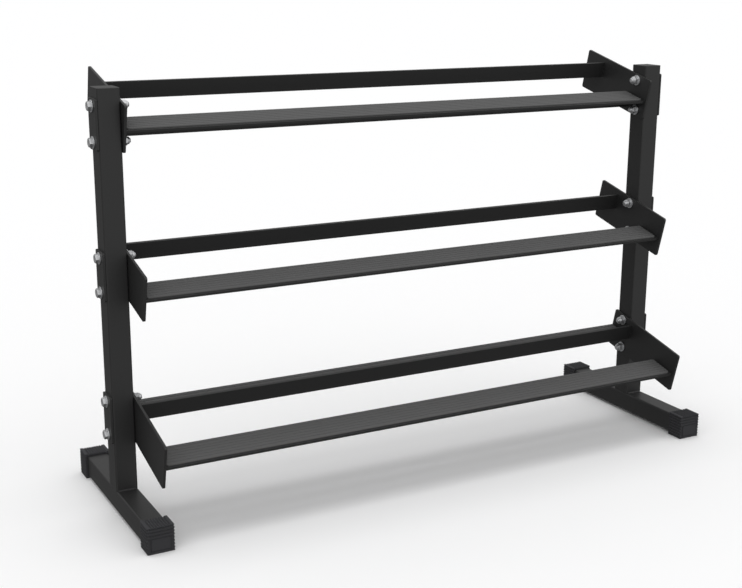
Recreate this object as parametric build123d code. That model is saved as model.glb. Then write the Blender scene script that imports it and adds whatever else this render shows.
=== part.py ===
from build123d import *
import os
from math import cos, radians, sin, tan

# Three-tier dumbbell rack: two square-tube side frames, each a foot with an upright on it,
# carry three welded shelves that slope down towards the front. A shelf is two end plates
# with a pair of unequal angle rails between them, and every end plate is held to its upright
# by two bolts and a backing plate.
# Frame: X runs along the shelves, Y to the back, Z up. The origin is on the floor, midway
# between the uprights and on their centreline. Sizes are in millimetres.

# --- Side frames ---------------------------------------------------------------
rack_width = 1515.0         # over the outer faces of the two uprights
rack_height = 962.0         # floor to the top of an upright's cap
foot_length = 500.0         # one foot tube, end to end
tube_size = 50.0            # side of the feet's square tube, and width of the uprights
upright_depth = 55.0        # of the uprights' tube, front to back
tube_wall = 3.0
tube_corner = 4.0           # outside corner radius of the tube
top_cap_flange = 3.0        # part of the upright's cap that lies on the tube's end
top_cap_plug = 14.0         # depth of the cap's plug inside the tube
top_cap_wall = 2.5
top_cap_clearance = 0.3     # between the plug and the tube's inside, each side
base_weld_leg = 3.0         # fillet weld between an upright and its foot

# --- Foot caps: ribbed rubber sleeves over the ends of the feet --------------------
foot_cap_wall = 6.0         # sides, top and sole
foot_cap_end_wall = 7.0
foot_cap_sleeve = 40.0      # length of tube that the sleeve covers
foot_cap_corner = 2.5       # outside radius of the edges that run along the foot
foot_cap_end_round = 1.0    # radius round the end face
foot_cap_groove = 3.0       # width of a groove
foot_cap_groove_depth = 2.5
foot_cap_side_pitch = 7.5   # from groove to groove on the sides and the upper half of the end
foot_cap_top_pitch = 6.0    # from groove to groove on the top
foot_cap_panel_margin = 8.0     # from the side to the groove beside the end's smooth panel

# --- Shelf end plates ----------------------------------------------------------
shelf_names = ("bottom", "middle", "top")
shelf_tilt = 14.0           # degrees, front edge lower
bottom_bolt_height = 226.0  # floor to the middle of the bottom shelf's bolt pair
top_bolt_drop = 78.0        # rack's top down to the middle of the top shelf's bolt pair
top_plate_lead = 45.4       # top end plate's front end, ahead of the uprights' centreline
middle_shelf_offset = 1.0   # centre of the middle end plate, behind the uprights' centreline
plate_length = 271.0
plate_height = 106.0
plate_thickness = 6.0
plate_corner = 5.0
plate_edge_round = 0.8

# --- Rails: unequal angles, ledge and leg ---------------------------------------------
ledge_width = 76.0
leg_height = 40.0
rail_thickness = 6.0
rail_root = 3.5             # radius inside the angle
rail_toe = 0.8              # radius at the free edges
front_rail_setback = 7.0    # front ledge's free edge, behind the plate's front end
rear_rail_setback = 0.0     # rear ledge's free edge, ahead of the plate's rear end
front_ledge_drop = 4.6      # front ledge's upper face, below the plate's middle line
rear_ledge_rise = 5.0       # rear ledge's upper face, above the plate's middle line
rail_weld_leg = 4.0
rail_weld_end_gap = 4.0     # a bead stops this far short of a rail's edges

# --- Ribbed mats on the ledges ----------------------------------------------------
mat_base = 2.4
mat_rib_height = 1.4
mat_rib_pitch = 10.0
mat_setback = 6.0           # from the ledge's free edge
mat_end_gap = 4.0           # from the end plates
mat_corner = 8.0

# --- Fasteners ---------------------------------------------------------------------
bolt_diameter = 12.0
bolt_hole_clearance = 1.0
bolt_edge_distance = 14.5   # from a bolt to the edge of the end plate's height
hex_shoulder = 3.5          # from the bolt's surface to a flat of its head or nut
bolt_head_height = 8.0
bolt_end_beyond_nut = 3.0
bolt_end_chamfer = 1.5
washer_land = 7.0           # from a washer's hole to its rim
washer_thickness = 2.5
nut_hex_height = 10.5
nut_collar_height = 4.0     # the locking collar on top of the hexagon
nut_collar_wall = 2.25
hex_chamfer = 1.2
backing_plate_inset = 1.0   # from each side of the upright
backing_plate_end = 16.5    # beyond each bolt
backing_plate_thickness = 5.0
backing_plate_corner = 4.0

# --- Places that follow from the sizes above ---------------------------------------
foot_underside = foot_cap_wall
foot_top = foot_underside + tube_size
upright_x = (rack_width - tube_size) / 2
inner_face_x = upright_x - tube_size / 2
outer_face_x = upright_x + tube_size / 2
rail_half_length = inner_face_x - plate_thickness
upright_tube_top = rack_height - top_cap_flange
top_bolt_height = rack_height - top_bolt_drop
shelf_pitch = (top_bolt_height - bottom_bolt_height) / (len(shelf_names) - 1)
shelf_step = (plate_length / 2 - top_plate_lead) * cos(radians(shelf_tilt))
bolt_spacing = plate_height - 2 * bolt_edge_distance
bolt_hole = bolt_diameter + bolt_hole_clearance
hex_width = bolt_diameter + 2 * hex_shoulder
washer_diameter = bolt_hole + 2 * washer_land
nut_collar_diameter = bolt_diameter + 2 * nut_collar_wall
head_seat_x = outer_face_x + backing_plate_thickness + washer_thickness
nut_seat_x = rail_half_length - washer_thickness
nut_end_x = nut_seat_x - nut_hex_height - nut_collar_height
front_edge = -plate_length / 2 + front_rail_setback
rear_edge = plate_length / 2 - rear_rail_setback
mat_height = mat_base + mat_rib_height
front_mat_ribs = int((ledge_width - mat_setback) / mat_rib_pitch)
rear_mat_ribs = int((ledge_width - mat_setback - rail_thickness - rail_root) / mat_rib_pitch)


def bolt_height(shelf):
    """Height of the middle of a shelf's bolt pair."""
    return bottom_bolt_height + shelf * shelf_pitch


def shelf_location(shelf):
    """Middle of a shelf's end plates, turned to the slope: local Y runs back along the plate."""
    y = middle_shelf_offset + (shelf - 1) * shelf_step
    z = bolt_height(shelf) + y * tan(radians(shelf_tilt))
    return Location((0, y, z), (shelf_tilt, 0, 0))


def bolt_places(shelf):
    """Heights of the two bolts of a shelf end, on the upright's centreline."""
    return [bolt_height(shelf) + side * bolt_spacing / 2 for side in (-1, 1)]


def x_cylinder(radius, x_start, x_end, z):
    """Round bar along X at a height on the uprights' centreline."""
    place = Plane(origin=(x_start, 0, z), x_dir=(0, 1, 0), z_dir=(1, 0, 0))
    return extrude(place * Circle(radius), x_end - x_start)


def bolt_holes(shelf, x_start, x_end):
    """Both bolt holes of a shelf end, as bars to cut away."""
    return [x_cylinder(bolt_hole / 2, x_start, x_end, z) for z in bolt_places(shelf)]


# --- Side frames ---------------------------------------------------------------

def tube_section(depth):
    """Tube with rounded corners, as wide as the feet and as deep as asked."""
    outline = RectangleRounded(tube_size, depth, tube_corner)
    return outline - RectangleRounded(tube_size - 2 * tube_wall, depth - 2 * tube_wall,
                                      tube_corner - tube_wall)


def foot_tube():
    """Foot tube along Y, open at both ends."""
    middle = Plane(origin=(upright_x, -foot_length / 2, foot_underside + tube_size / 2),
                   x_dir=(1, 0, 0), z_dir=(0, 1, 0))
    return extrude(middle * tube_section(tube_size), foot_length)


def upright_tube():
    """Upright standing on the foot, with a clearance hole for every bolt."""
    base = Plane(origin=(upright_x, 0, foot_top))
    tube = extrude(base * tube_section(upright_depth), upright_tube_top - foot_top)
    for shelf in range(len(shelf_names)):
        for hole in bolt_holes(shelf, inner_face_x - 1, outer_face_x + 1):
            tube -= hole
    return tube


def top_cap_outline(inset, corner):
    """Outline of the cap's plug, moved in from the upright's outside."""
    return RectangleRounded(tube_size - 2 * inset, upright_depth - 2 * inset, corner)


def upright_cap():
    """Moulded cap: a flange on the tube's end and a hollow plug inside it."""
    inset = tube_wall + top_cap_clearance
    seat = Plane(origin=(upright_x, 0, upright_tube_top))
    flange = extrude(seat * RectangleRounded(tube_size, upright_depth, tube_corner), top_cap_flange)
    flange = fillet(flange.faces().sort_by(Axis.Z)[-1].edges(), top_cap_flange / 2)
    wall = top_cap_outline(inset, 1.0) - top_cap_outline(inset + top_cap_wall, 0.5)
    return flange + extrude(seat * wall, -top_cap_plug)


def base_weld():
    """Fillet beads where the upright's front and rear faces meet the top of the foot."""
    width = tube_size - 2 * tube_corner
    beads = []
    for side in (-1, 1):
        face_y = side * upright_depth / 2
        corner = [(face_y, foot_top), (face_y + side * base_weld_leg, foot_top),
                  (face_y, foot_top + base_weld_leg)]
        start = Plane(origin=(upright_x - width / 2, 0, 0), x_dir=(0, 1, 0), z_dir=(1, 0, 0))
        beads.append(extrude(start * make_face(Polyline(*corner, close=True)), width))
    return beads


def groove_offsets(span, pitch):
    """Grooves at an even pitch about a middle line, as many as have their centres in the span."""
    steps = int(span / pitch)
    return [(i - steps / 2) * pitch for i in range(steps + 1)]


def foot_cap():
    """Ribbed sleeve over the front end of the right foot: sole on the floor, end wall in front."""
    size = tube_size + 2 * foot_cap_wall
    front_y = -foot_length / 2 - foot_cap_end_wall
    length = foot_cap_sleeve + foot_cap_end_wall
    middle_z = size / 2
    face = Plane(origin=(upright_x, front_y, middle_z), x_dir=(-1, 0, 0), z_dir=(0, 1, 0))
    body = extrude(face * RectangleRounded(size, size, foot_cap_corner), length)
    body = fillet(body.faces().sort_by(Axis.Y)[0].edges(), foot_cap_end_round)
    socket = extrude(face * RectangleRounded(tube_size, tube_size, tube_corner - 1), foot_cap_sleeve)
    body -= Pos(0, foot_cap_end_wall, 0) * socket
    deep = 2 * foot_cap_groove_depth
    middle = Pos(upright_x, front_y + length / 2, middle_z)
    span = size - 2 * foot_cap_corner
    side_offsets = groove_offsets(span, foot_cap_side_pitch)
    for z in side_offsets:
        for side in (-1, 1):
            body -= middle * Pos(side * size / 2, 0, z) * Box(deep, length + 1, foot_cap_groove)
    for x in groove_offsets(span - 2 * foot_cap_groove, foot_cap_top_pitch):
        body -= middle * Pos(x, 0, size / 2) * Box(foot_cap_groove, length + 1, deep)
    end_offsets = [z for z in side_offsets if z > 0]
    for z in end_offsets:
        body -= Pos(upright_x, front_y, middle_z + z) * Box(size + 1, deep, foot_cap_groove)
    return body - foot_cap_panel_groove(size, front_y, middle_z + end_offsets[0])


def foot_cap_panel_groove(size, front_y, top):
    """Groove round the smooth panel low on the end face, up to the lowest groove across it."""
    width = size - 2 * foot_cap_panel_margin
    height = top - foot_cap_wall
    outside = Box(width + foot_cap_groove, 2 * foot_cap_groove_depth, height + foot_cap_groove)
    inside = Box(width - foot_cap_groove, 4 * foot_cap_groove_depth, height - foot_cap_groove)
    return Pos(upright_x, front_y, foot_cap_wall + height / 2) * (outside - inside)


# --- Shelves -------------------------------------------------------------------

def end_plate(shelf):
    """Sloping plate on the upright's inner face, drilled where the bolts pass."""
    start = Plane(origin=(rail_half_length, 0, 0), x_dir=(0, 1, 0), z_dir=(1, 0, 0))
    plate = extrude(start * RectangleRounded(plate_length, plate_height, plate_corner), plate_thickness)
    plate = fillet(plate.faces().filter_by(Axis.X).edges(), plate_edge_round)
    plate = shelf_location(shelf) * plate
    for hole in bolt_holes(shelf, rail_half_length - 1, inner_face_x + 1):
        plate -= hole
    return plate


def angle_section():
    """Angle with its outer corner at the origin, ledge along +u and leg along +v."""
    outline = Polyline((0, 0), (ledge_width, 0), (ledge_width, rail_thickness),
                       (rail_thickness, rail_thickness), (rail_thickness, leg_height),
                       (0, leg_height), close=True)
    face = make_face(outline)
    corners = face.vertices()
    root = corners.sort_by_distance((rail_thickness, rail_thickness))[:1]
    face = fillet(root, rail_root)
    toes = (face.vertices().sort_by_distance((ledge_width, rail_thickness))[:1]
            + face.vertices().sort_by_distance((rail_thickness, leg_height))[:1])
    return fillet(toes, rail_toe)


def section_plane(row, x_start):
    """Plane of a rail's section at x_start: u runs from the outer corner along the ledge.

    The rear angle stands its leg up at the front of the ledge. The front angle is the same
    section turned half round, so its leg hangs down at the back of the ledge.
    """
    if row == "front":
        corner = (x_start, front_edge + ledge_width, -front_ledge_drop)
        return Plane(origin=corner, x_dir=(0, -1, 0), z_dir=(1, 0, 0))
    corner = (x_start, rear_edge - ledge_width, rear_ledge_rise - rail_thickness)
    return Plane(origin=corner, x_dir=(0, 1, 0), z_dir=(1, 0, 0))


def rail(row, shelf):
    """One angle rail between the end plates."""
    start = section_plane(row, -rail_half_length)
    return shelf_location(shelf) * extrude(start * angle_section(), 2 * rail_half_length)


def bead(row, corner, along):
    """Fillet bead against the right end plate, on the rail face that starts at corner."""
    u, v = corner
    du, dv = along
    x = rail_half_length
    plane = section_plane(row, x)
    length = (du * du + dv * dv) ** 0.5
    along_dir = plane.x_dir * (du / length) + plane.y_dir * (dv / length)
    start = plane.origin + plane.x_dir * u + plane.y_dir * v
    face = Plane(origin=start, x_dir=(-1, 0, 0), z_dir=along_dir)
    triangle = make_face(Polyline((0, 0), (rail_weld_leg, 0), (0, rail_weld_leg), close=True))
    return extrude(face * triangle, length)


def rail_welds(shelf):
    """Beads on the hidden faces of both rails, at both end plates."""
    clear = rail_thickness + rail_weld_leg + rail_weld_end_gap
    ledge_run = ledge_width - clear - rail_weld_end_gap
    leg_run = leg_height - clear - rail_weld_end_gap
    leg_top = leg_height - rail_weld_end_gap
    ledge_end = ledge_width - rail_weld_end_gap
    beads = [bead("front", (clear, rail_thickness), (ledge_run, 0)),
             bead("front", (rail_thickness, leg_top), (0, -leg_run)),
             bead("rear", (ledge_end, 0), (-ledge_run, 0)),
             bead("rear", (rail_thickness, leg_top), (0, -leg_run))]
    beads += [mirror(item, about=Plane.YZ) for item in beads]
    return [shelf_location(shelf) * item for item in beads]


def mat_corner_cuts(length, width):
    """Upright bars that, cut away, round the four corners of a strip in plan."""
    square = Rectangle(2 * mat_corner, 2 * mat_corner)
    cuts = []
    for side_x in (-1, 1):
        for side_y in (-1, 1):
            outside = Pos(side_x * mat_corner, side_y * mat_corner) * square - Circle(mat_corner)
            centre = Pos(side_x * (length / 2 - mat_corner), side_y * (width / 2 - mat_corner), -1)
            cuts.append(extrude(centre * outside, mat_height + 2))
    return cuts


def mat(row, shelf):
    """Ribbed strip on a ledge: one arc for each rib, and rounded corners in plan."""
    ribs = front_mat_ribs if row == "front" else rear_mat_ribs
    width = ribs * mat_rib_pitch
    half = width / 2
    edges = [Line((half, mat_base), (half, 0)), Line((half, 0), (-half, 0)),
             Line((-half, 0), (-half, mat_base))]
    for i in range(ribs):
        left = i * mat_rib_pitch - half
        crest = (left + mat_rib_pitch / 2, mat_height)
        edges.append(ThreePointArc((left, mat_base), crest, (left + mat_rib_pitch, mat_base)))
    length = 2 * (rail_half_length - mat_end_gap)
    start = Plane(origin=(-length / 2, 0, 0), x_dir=(0, 1, 0), z_dir=(1, 0, 0))
    strip = extrude(start * make_face(edges), length)
    for cut in mat_corner_cuts(length, width):
        strip -= cut
    if row == "front":
        on_ledge = Pos(0, front_edge + mat_setback + half, -front_ledge_drop)
    else:
        on_ledge = Pos(0, rear_edge - mat_setback - half, rear_ledge_rise)
    return shelf_location(shelf) * on_ledge * strip


# --- Fasteners of a right-hand shelf end -------------------------------------------

def backing_plate(shelf):
    """Plate on the upright's outer face that spreads the load of the two bolt heads."""
    start = Plane(origin=(outer_face_x, 0, bolt_height(shelf)), x_dir=(0, 1, 0), z_dir=(1, 0, 0))
    outline = RectangleRounded(upright_depth - 2 * backing_plate_inset,
                               bolt_spacing + 2 * backing_plate_end, backing_plate_corner)
    plate = extrude(start * outline, backing_plate_thickness)
    plate = fillet(plate.faces().sort_by(Axis.X)[-1].edges(), plate_edge_round)
    for hole in bolt_holes(shelf, outer_face_x - 1, outer_face_x + backing_plate_thickness + 1):
        plate -= hole
    return plate


def hexagon(x_start, x_end, z):
    """Hexagonal bar along X whose corners are turned down at its outer end, x_end."""
    place = Plane(origin=(x_start, 0, z), x_dir=(0, 1, 0), z_dir=(1 if x_end > x_start else -1, 0, 0))
    height = abs(x_end - x_start)
    corner_radius = hex_width / 2 / cos(radians(30))
    prism = extrude(place * RegularPolygon(corner_radius, 6), height)
    turned = extrude(place * Circle(corner_radius + 0.01), height)
    turned = chamfer(turned.faces().sort_by(Axis.X)[-1 if x_end > x_start else 0].edges(),
                     hex_chamfer / 2, hex_chamfer)
    return prism & turned


def bolts(shelf):
    """Hexagon bolts: head outside the upright, threaded end beyond the nut inside."""
    end_x = nut_end_x - bolt_end_beyond_nut
    made = []
    for z in bolt_places(shelf):
        shank = x_cylinder(bolt_diameter / 2, end_x, head_seat_x, z)
        shank = chamfer(shank.faces().sort_by(Axis.X)[0].edges(), bolt_end_chamfer)
        made.append(shank + hexagon(head_seat_x, head_seat_x + bolt_head_height, z))
    return made


def washers(shelf):
    """A washer under each bolt head and one under each nut."""
    made = []
    for z in bolt_places(shelf):
        for x_start in (head_seat_x - washer_thickness, nut_seat_x):
            ring = x_cylinder(washer_diameter / 2, x_start, x_start + washer_thickness, z)
            ring -= x_cylinder(bolt_hole / 2, x_start - 1, x_start + washer_thickness + 1, z)
            made.append(ring)
    return made


def nuts(shelf):
    """Lock nuts: a hexagon against the washer and a round collar over its top."""
    hex_end_x = nut_seat_x - nut_hex_height
    made = []
    for z in bolt_places(shelf):
        nut = hexagon(nut_seat_x, hex_end_x, z)
        collar = x_cylinder(nut_collar_diameter / 2, nut_end_x, hex_end_x, z)
        nut += fillet(collar.faces().sort_by(Axis.X)[0].edges(), nut_collar_height / 3)
        made.append(nut - x_cylinder(bolt_diameter / 2, nut_end_x - 1, nut_seat_x + 1, z))
    return made


# --- Assembly --------------------------------------------------------------------

def both_sides(name, shape):
    """The right-hand piece as made, and its mirror image on the left."""
    shapes = shape if isinstance(shape, list) else [shape]
    mirrored = [mirror(item, about=Plane.YZ) for item in shapes]
    return {"right_" + name: shapes, "left_" + name: mirrored}


def all_nodes():
    """Every node's name with its list of solids."""
    nodes = {}
    nodes.update(both_sides("foot_tube", foot_tube()))
    nodes.update(both_sides("upright", upright_tube()))
    nodes.update(both_sides("upright_cap", upright_cap()))
    nodes.update(both_sides("base_weld", base_weld()))
    front_cap = foot_cap()
    nodes.update(both_sides("front_foot_cap", front_cap))
    nodes.update(both_sides("rear_foot_cap", mirror(front_cap, about=Plane.XZ)))
    for shelf, name in enumerate(shelf_names):
        nodes.update(both_sides(name + "_end_plate", end_plate(shelf)))
        for row in ("front", "rear"):
            nodes[f"{name}_{row}_rail"] = [rail(row, shelf)]
            nodes[f"{name}_{row}_mat"] = [mat(row, shelf)]
        nodes[name + "_rail_welds"] = rail_welds(shelf)
        nodes.update(both_sides(name + "_backing_plate", backing_plate(shelf)))
        nodes.update(both_sides(name + "_bolts", bolts(shelf)))
        nodes.update(both_sides(name + "_washers", washers(shelf)))
        nodes.update(both_sides(name + "_nuts", nuts(shelf)))
    return nodes


os.makedirs("parts", exist_ok=True)
for node, solids in all_nodes().items():
    shape = solids[0] if len(solids) == 1 else Compound(children=solids)
    export_step(shape, f"parts/{node}.step")
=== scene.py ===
"""Finish for a three-tier dumbbell rack: the steel frame is kept and coated, and the ribbed mats,
foot caps, upright caps, fasteners and weld beads are worked out as surfaces. Metres throughout."""

from math import cos, pi, radians, sin

import bmesh
import bpy
import numpy as np
from bpy.props import FloatProperty, FloatVectorProperty, IntProperty, PointerProperty
from mathutils import Matrix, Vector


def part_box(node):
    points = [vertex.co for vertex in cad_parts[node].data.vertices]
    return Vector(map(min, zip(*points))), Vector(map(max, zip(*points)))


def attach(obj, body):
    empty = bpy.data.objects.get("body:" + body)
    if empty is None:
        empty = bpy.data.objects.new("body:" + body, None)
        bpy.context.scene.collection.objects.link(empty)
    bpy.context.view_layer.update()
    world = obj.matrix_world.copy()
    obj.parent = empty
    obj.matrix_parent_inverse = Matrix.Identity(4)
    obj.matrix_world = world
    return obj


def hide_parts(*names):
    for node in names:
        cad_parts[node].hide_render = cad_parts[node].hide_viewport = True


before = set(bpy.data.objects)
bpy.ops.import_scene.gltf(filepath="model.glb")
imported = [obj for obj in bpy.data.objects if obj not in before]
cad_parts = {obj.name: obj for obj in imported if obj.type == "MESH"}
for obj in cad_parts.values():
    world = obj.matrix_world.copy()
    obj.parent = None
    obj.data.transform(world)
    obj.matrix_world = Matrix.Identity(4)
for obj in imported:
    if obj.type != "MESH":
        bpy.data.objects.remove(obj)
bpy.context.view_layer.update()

bl_info = {
    "name": "Dumbbell rack finish",
    "version": (1, 0, 0),
    "blender": (4, 5, 0),
    "location": "View3D > Sidebar > Rack",
    "description": "Rubber, fasteners, weld beads and powder coat for a three-tier dumbbell rack",
    "category": "Object",
}

MM = 0.001
SHELVES = ("bottom", "middle", "top")
SIDES = ("left", "right")
ROWS = ("front", "rear")
STEEL_ENDINGS = ("_foot_tube", "_upright", "_rail", "_end_plate", "_backing_plate")


# --- Sizes and finishes ---

def length(name, description, default):
    """A length property in metres whose default is given in millimetres."""
    return FloatProperty(name=name, description=description, default=default * MM,
                         min=0.0, precision=5, unit="LENGTH", subtype="DISTANCE")


def tone(name, description, default):
    """A colour property, in linear values."""
    return FloatVectorProperty(name=name, description=description, default=default,
                               min=0.0, max=1.0, size=3, subtype="COLOR")


def share(name, description, default):
    """A plain number from 0 to 1."""
    return FloatProperty(name=name, description=description, default=default,
                         min=0.0, max=1.0, subtype="FACTOR")


def lean(name, description, default):
    """An angle property, in radians."""
    return FloatProperty(name=name, description=description, default=default,
                         unit="ROTATION", subtype="ANGLE")


def strength(name, description, default):
    """A brightness property."""
    return FloatProperty(name=name, description=description, default=default, min=0.0)


class RackSizes(bpy.types.PropertyGroup):
    """Sizes of the pieces that are worked out here."""

    shelf_tilt: lean("Shelf tilt", "Slope of the shelves, front edge lower", radians(14))
    ledge_width: length("Ledge width", "Width of a rail's ledge", 76)
    leg_height: length("Leg height", "Height of a rail's leg", 40)
    rail_thickness: length("Rail thickness", "Thickness of the angle rails", 6)
    front_setback: length("Front setback", "Front rail's edge, behind the end plate's front end", 7)
    front_drop: length("Front ledge drop", "Front ledge's face, below the end plate's middle", 4.6)
    rear_rise: length("Rear ledge rise", "Rear ledge's face, above the end plate's middle", 5)
    plate_length: length("End plate length", "Length of an end plate along the slope", 271)
    shelf_weld: length("Shelf weld", "Leg of the beads that hold the rails to the end plates", 4)
    base_weld: length("Base weld", "Leg of the beads that hold an upright to its foot", 3)
    weld_ripple: length("Weld ripple", "Distance from one ripple of a bead to the next", 1.9)
    weld_gap: length("Weld gap", "How far a bead stops short of a rail's edges", 4)

    tube_corner: length("Tube corner", "Outside corner radius of the uprights' tube", 4)
    tube_wall: length("Tube wall", "Wall of the uprights' tube", 3)

    mat_base: length("Mat base", "Thickness of a mat in its grooves", 2.4)
    mat_rib: length("Mat rib", "Height of a mat's ribs above the grooves", 1.4)
    mat_pitch: length("Mat rib pitch", "Distance from rib to rib", 10)
    mat_corner: length("Mat corner", "Corner radius of a mat in plan", 8)
    mat_end_round: length("Mat end round", "Radius of the upper edge at a mat's ends", 1)
    mat_thin: length("Mat thin", "Least thickness of a mat at its rounded ends", 0.3)
    rib_points: IntProperty(name="Points per rib", description="Points across one rib of a mat",
                            default=14, min=6, max=40)

    cap_corner: length("Foot cap corner", "Radius of the edges that run along a foot cap", 2.5)
    cap_end_round: length("Foot cap end round", "Radius round a foot cap's end face", 1)
    cap_wall: length("Foot cap wall", "Wall of the rubber sleeve", 6)
    cap_end_wall: length("Foot cap end wall", "Thickness of a foot cap's end", 7)
    side_pitch: length("Side groove pitch", "Groove to groove on a foot cap's sides and end", 7.5)
    top_pitch: length("Top groove pitch", "Groove to groove on a foot cap's top", 6)
    groove_width: length("Groove width", "Width of a groove at the surface", 4.6)
    groove_depth: length("Groove depth", "Depth of the foot cap's grooves", 2.5)
    panel_margin: length("Panel margin", "From a foot cap's side to the groove by its panel", 8)

    plug_crown: length("Upright cap crown", "Rise of the upright cap's middle over its edge", 0.5)
    plug_flange: length("Upright cap flange", "Thickness of the upright cap's flange", 3)
    plug_depth: length("Upright cap plug", "Depth of the plug inside the tube", 14)
    plug_wall: length("Upright cap wall", "Wall of the hollow plug", 2.5)
    plug_clearance: length("Upright cap clearance", "Between the plug and the tube's inside", 0.3)

    bolt_diameter: length("Bolt diameter", "Outer diameter of the bolts' thread", 12)
    thread_pitch: length("Thread pitch", "Distance from thread to thread", 1.75)
    head_height: length("Head height", "Height of a bolt's head", 8)
    washer_thickness: length("Washer", "Thickness of a washer", 2.5)
    nut_collar: length("Nut collar", "Height of the locking collar on a nut", 4)
    collar_wall: length("Collar wall", "From the bolt to the outside of the collar", 2.25)
    turn_points: IntProperty(name="Points round a fastener", description="Points round each bolt,"
                             " nut and washer", default=96, min=24, max=192)


class RackFinish(bpy.types.PropertyGroup):
    """Colours and gloss of the finishes."""

    paint: tone("Powder coat", "Black powder coat on all the steel", (0.0075, 0.0076, 0.0080))
    paint_roughness: share("Powder coat roughness", "Middle value; it varies about this", 0.29)
    mat: tone("Mat rubber", "Charcoal rubber of the ribbed mats", (0.0085, 0.0086, 0.0088))
    mat_roughness: share("Mat roughness", "Middle value; it varies about this", 0.30)
    cap: tone("Foot cap rubber", "Black rubber of the foot caps", (0.012, 0.012, 0.0123))
    cap_roughness: share("Foot cap roughness", "Middle value; it varies about this", 0.56)
    plug: tone("Upright cap plastic", "Black plastic of the upright caps", (0.02, 0.0202, 0.021))
    zinc: tone("Zinc plate", "Bright zinc on the fasteners", (0.78, 0.79, 0.80))
    zinc_roughness: share("Zinc roughness", "Middle value; it varies about this", 0.12)
    insert: tone("Lock ring nylon", "Ring that grips the thread", (0.30, 0.31, 0.33))


class RackStage(bpy.types.PropertyGroup):
    """Camera, floor and light."""

    camera_place: FloatVectorProperty(name="Camera place", description="Where the camera stands",
                                      default=(-1.4928, -2.6073, 1.2081), size=3, unit="LENGTH",
                                      subtype="TRANSLATION")
    camera_yaw: lean("Camera yaw", "Turn from the back towards the right", 0.493)
    camera_pitch: lean("Camera pitch", "Tilt of the view above level", -0.256)
    camera_roll: lean("Camera roll", "Turn about the line of sight", 0.005)
    focal_length: FloatProperty(name="Focal length", description="Lens for a sensor 36 mm wide",
                                default=60.6, unit="CAMERA")
    floor_size: FloatProperty(name="Floor size", description="Side of the floor", default=400.0,
                              unit="LENGTH", subtype="DISTANCE")
    floor_tone: tone("Floor", "Plain pale floor", (0.96, 0.96, 0.963))
    sky_strength: strength("Sky", "Brightness of the soft light from above", 1.0)
    ground_strength: strength("Ground", "Brightness of what is below level", 0.18)
    sky_tilt: lean("Sky tilt", "Lean of the soft light towards the front", 0.35)
    key_strength: strength("Key light", "Strength of the soft overhead light", 0.62)
    key_angle: lean("Key angle", "How wide the overhead light is", 0.45)
    key_lean: lean("Key lean", "Turn of the light from straight down", -0.2)


def sizes():
    return bpy.context.scene.rack_sizes


def finish():
    return bpy.context.scene.rack_finish


# --- Shader maths ---

class Value:
    """A node's output. Each operator on it adds one Math node and gives a new value."""

    def __init__(self, shader, socket):
        self.shader = shader
        self.socket = socket

    def math(self, operation, *operands):
        return self.shader.node("ShaderNodeMath", {"operation": operation}, dict(enumerate(operands)))

    def __add__(self, other):
        return self.math("ADD", self, other)

    __radd__ = __add__

    def __mul__(self, other):
        return self.math("MULTIPLY", self, other)

    __rmul__ = __mul__

    def __sub__(self, other):
        return self.math("SUBTRACT", self, other)

    def __rsub__(self, other):
        return self.math("SUBTRACT", other, self)

    def ramp(self, low, high, to_low=0.0, to_high=1.0):
        """Smooth step from to_low to to_high as the value goes from low to high."""
        inputs = {"Value": self, "From Min": low, "From Max": high, "To Min": to_low, "To Max": to_high}
        return self.shader.node("ShaderNodeMapRange", {"interpolation_type": "SMOOTHSTEP"}, inputs)


class Shader:
    """A new material with one Principled BSDF, and the few ways in which nodes are added to it."""

    def __init__(self, name):
        self.material = bpy.data.materials.new(name)
        self.material.use_nodes = True
        self.tree = self.material.node_tree
        self.surface = self.tree.nodes["Principled BSDF"]

    def node(self, kind, settings, inputs, output=0):
        """Adds a node: its settings first, then the value or link of each socket."""
        made = self.tree.nodes.new(kind)
        for setting, value in settings.items():
            setattr(made, setting, value)
        for socket, value in inputs.items():
            self.put(made.inputs[socket], value)
        return Value(self, made.outputs[output])

    def put(self, socket, value):
        if isinstance(value, Value):
            self.tree.links.new(value.socket, socket)
        else:
            socket.default_value = value

    def set(self, **values):
        """Sets sockets of the Principled BSDF, named with underscores for spaces."""
        for name, value in values.items():
            self.put(self.surface.inputs[name.replace("_", " ")], value)

    def place(self, scale=(1.0, 1.0, 1.0)):
        """Object coordinates, stretched by a scale along each axis."""
        coordinates = self.node("ShaderNodeTexCoord", {}, {}, "Object")
        return self.node("ShaderNodeMapping", {}, {"Vector": coordinates, "Scale": scale})

    def noise(self, where, scale, detail=2.0, roughness=0.5):
        inputs = {"Vector": where, "Scale": scale, "Detail": detail, "Roughness": roughness}
        return self.node("ShaderNodeTexNoise", {}, inputs, "Fac")

    def attribute(self, name):
        return self.node("ShaderNodeAttribute", {"attribute_name": name}, {}, "Fac")

    def upward(self):
        """How far the surface faces up, from -1 to 1."""
        normal = self.node("ShaderNodeNewGeometry", {}, {}, "Normal")
        return self.node("ShaderNodeSeparateXYZ", {}, {"Vector": normal}, "Z")

    def blend(self, amount, first, second):
        """Colour that goes from first to second."""
        inputs = {"Factor": amount, 6: first, 7: second}
        return self.node("ShaderNodeMix", {"data_type": "RGBA"}, inputs, 2)

    def bump(self, height, strength, distance, under=None):
        inputs = {"Height": height, "Strength": strength, "Distance": distance}
        if under:
            inputs["Normal"] = under
        return self.node("ShaderNodeBump", {}, inputs, "Normal")


def shaded(colour, factor):
    """A colour made darker or lighter, with full alpha."""
    return (*(channel * factor for channel in colour), 1.0)


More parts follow.
